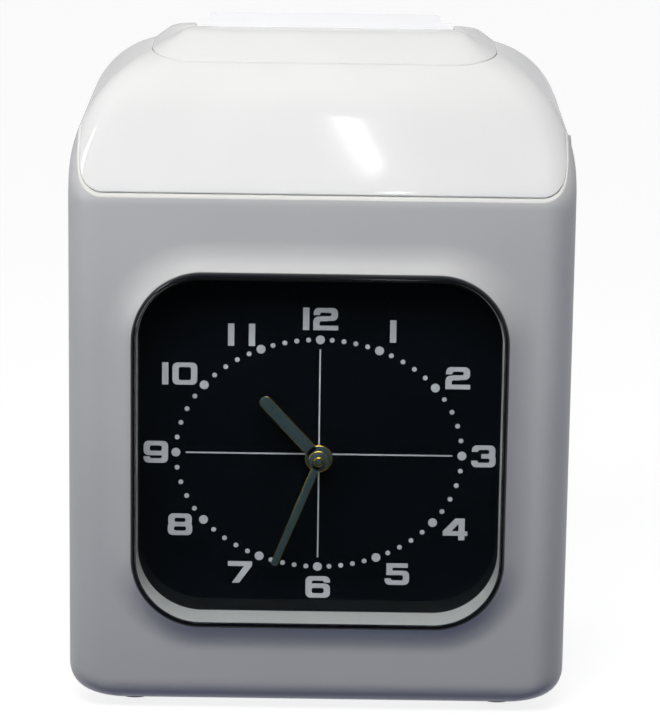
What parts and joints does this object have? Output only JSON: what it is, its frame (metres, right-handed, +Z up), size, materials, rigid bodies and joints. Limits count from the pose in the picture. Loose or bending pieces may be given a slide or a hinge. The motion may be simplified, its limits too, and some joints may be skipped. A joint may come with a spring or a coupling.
{
  "type": "time clock",
  "caption": "Desktop card time recorder: moulded grey case with a cove round a clear lens, black dial with brass hands, lift-off white cover, top card slot and a dot printer inside.",
  "frame": {"origin": "on the table under the middle of the object's box", "axes": "+X to the viewer's right, +Y from the dial to the back, +Z up"},
  "size_m": [0.184, 0.132, 0.251],
  "materials": {
    "case_plastic": "moulded, satin gloss, cool light grey",
    "cover_plastic": "moulded, high gloss, white",
    "clear_acrylic": "clear, polished",
    "dial_paint": "black screen print on sheet",
    "polished_brass": "polished and lacquered",
    "zinc_sheet": "zinc plated sheet",
    "motor_can": "drawn can, dull",
    "bright_steel": "ground bright",
    "black_rubber": "matt",
    "black_plastic": "fine spark texture",
    "cream_nylon": "moulded natural nylon",
    "ribbon_fabric": "inked woven ribbon",
    "panel_plastic": "fine matt",
    "circuit_board": "solder resist",
    "display_glass": "liquid crystal, reflective",
    "blue_button": "moulded satin",
    "red_button": "moulded satin",
    "lock_chrome": "plated",
    "core_steel": "varnished laminations"
  },
  "bodies": {
    "case_body": {"front_case": "case_plastic", "rear_case": "case_plastic", "card_throat": "cover_plastic", "lens": "clear_acrylic", "dial": "dial_paint", "clock_front_plate": "zinc_sheet", "clock_back_plate": "zinc_sheet", "clock_motor": "motor_can", "chassis": "zinc_sheet", "front_card_guide": "zinc_sheet", "rear_card_guide": "cover_plastic", "platen": "black_rubber", "lift_motor": "motor_can", "lift_guide_rod": "bright_steel", "guide_shafts": "bright_steel", "drive_belt": "black_rubber", "carriage_motor": "motor_can", "ribbon_cassette": "black_plastic", "ink_ribbon": "ribbon_fabric", "setting_panel": "panel_plastic", "switch_board": "circuit_board", "display_window": "display_glass", "lock_body": "lock_chrome", "main_board": "circuit_board", "transformer": "core_steel", "cord_bush": "black_rubber", "rubber_feet": "black_rubber", "case_screws": "bright_steel", "dial_screws": "bright_steel", "chassis_screws": "bright_steel"},
    "cover_body": {"upper_cover": "cover_plastic"},
    "minute_body": {"minute_arbor": "polished_brass", "minute_hand": "polished_brass", "hand_nut": "polished_brass"},
    "minute_wheel_body": {"minute_wheel": "polished_brass"},
    "hour_body": {"hour_wheel": "polished_brass", "hour_hand": "polished_brass"},
    "motor_pinion_body": {"clock_motor_pinion": "bright_steel"},
    "lock_turning_body": {"lock_plug": "lock_chrome", "lock_cam": "bright_steel"},
    "card_rest_body": {"card_rest": "black_plastic"},
    "lift_screw_body": {"lift_screw": "bright_steel"},
    "carriage_body": {"print_carriage": "black_plastic", "print_head": "black_plastic"},
    "drive_pulley_body": {"drive_pulley": "cream_nylon"},
    "idler_pulley_body": {"idler_pulley": "cream_nylon"},
    "take_up_body": {"take_up_spool": "cream_nylon"},
    "supply_body": {"supply_spool": "cream_nylon"},
    "select_body": {"select_button": "blue_button"},
    "change_body": {"change_button": "blue_button"},
    "set_body": {"set_button": "red_button"}
  },
  "joints": [
    {"name": "cover_lift", "type": "slide", "parent": "case_body", "child": "cover_body", "axis": [0, 0, 1], "range_m": [0, 0.05]},
    {"name": "minute_turn", "type": "hinge", "parent": "case_body", "child": "minute_body", "pos_m": [0, -0.047, 0.097], "axis": [0, 1, 0], "continuous": true},
    {"name": "minute_wheel_turn", "type": "hinge", "parent": "case_body", "child": "minute_wheel_body", "pos_m": [0.015, -0.04, 0.097], "axis": [0, 1, 0], "continuous": true},
    {"name": "hour_turn", "type": "hinge", "parent": "case_body", "child": "hour_body", "pos_m": [0, -0.047, 0.097], "axis": [0, 1, 0], "continuous": true},
    {"name": "motor_pinion_turn", "type": "hinge", "parent": "case_body", "child": "motor_pinion_body", "pos_m": [0, -0.03, 0.0745], "axis": [0, 1, 0], "continuous": true},
    {"name": "lock_turn", "type": "hinge", "parent": "case_body", "child": "lock_turning_body", "pos_m": [0.085, -0.01, 0.203], "axis": [-1, 0, 0], "range_deg": [0, 90]},
    {"name": "card_rest_slide", "type": "slide", "parent": "case_body", "child": "card_rest_body", "axis": [0, 0, 1], "range_m": [0, 0.06]},
    {"name": "lift_screw_turn", "type": "hinge", "parent": "case_body", "child": "lift_screw_body", "pos_m": [0, 0.0232, 0.1], "axis": [0, 0, 1], "range_deg": [-10, 1810]},
    {"name": "carriage_slide", "type": "slide", "parent": "case_body", "child": "carriage_body", "axis": [1, 0, 0], "range_m": [-0.028, 0.028]},
    {"name": "drive_pulley_turn", "type": "hinge", "parent": "case_body", "child": "drive_pulley_body", "pos_m": [-0.046, -0.012, 0.18], "axis": [0, 0, 1], "range_deg": [-260, 260]},
    {"name": "idler_pulley_turn", "type": "hinge", "parent": "case_body", "child": "idler_pulley_body", "pos_m": [0.046, -0.012, 0.18], "axis": [0, 0, 1], "range_deg": [-260, 260]},
    {"name": "take_up_turn", "type": "hinge", "parent": "case_body", "child": "take_up_body", "pos_m": [0.034, -0.012, 0.215], "axis": [0, 0, 1], "continuous": true},
    {"name": "supply_turn", "type": "hinge", "parent": "case_body", "child": "supply_body", "pos_m": [-0.034, -0.012, 0.215], "axis": [0, 0, 1], "continuous": true},
    {"name": "select_press", "type": "slide", "parent": "case_body", "child": "select_body", "axis": [0, 0, -1], "range_m": [0, 0.0012], "stiffness_N_per_m": 300},
    {"name": "change_press", "type": "slide", "parent": "case_body", "child": "change_body", "axis": [0, 0, -1], "range_m": [0, 0.0012], "stiffness_N_per_m": 300},
    {"name": "set_press", "type": "slide", "parent": "case_body", "child": "set_body", "axis": [0, 0, -1], "range_m": [0, 0.0012], "stiffness_N_per_m": 300}
  ],
  "couplings": [
    {"joint": "minute_wheel_turn", "follows": "minute_turn", "ratio": -0.33333},
    {"joint": "hour_turn", "follows": "minute_turn", "ratio": 0.083333},
    {"joint": "motor_pinion_turn", "follows": "minute_turn", "ratio": -4},
    {"joint": "lift_screw_turn", "follows": "card_rest_slide", "rad_per_m": 523.6},
    {"joint": "drive_pulley_turn", "follows": "carriage_slide", "rad_per_m": 158.73},
    {"joint": "idler_pulley_turn", "follows": "carriage_slide", "rad_per_m": 158.73},
    {"joint": "supply_turn", "follows": "take_up_turn", "ratio": 1}
  ]
}
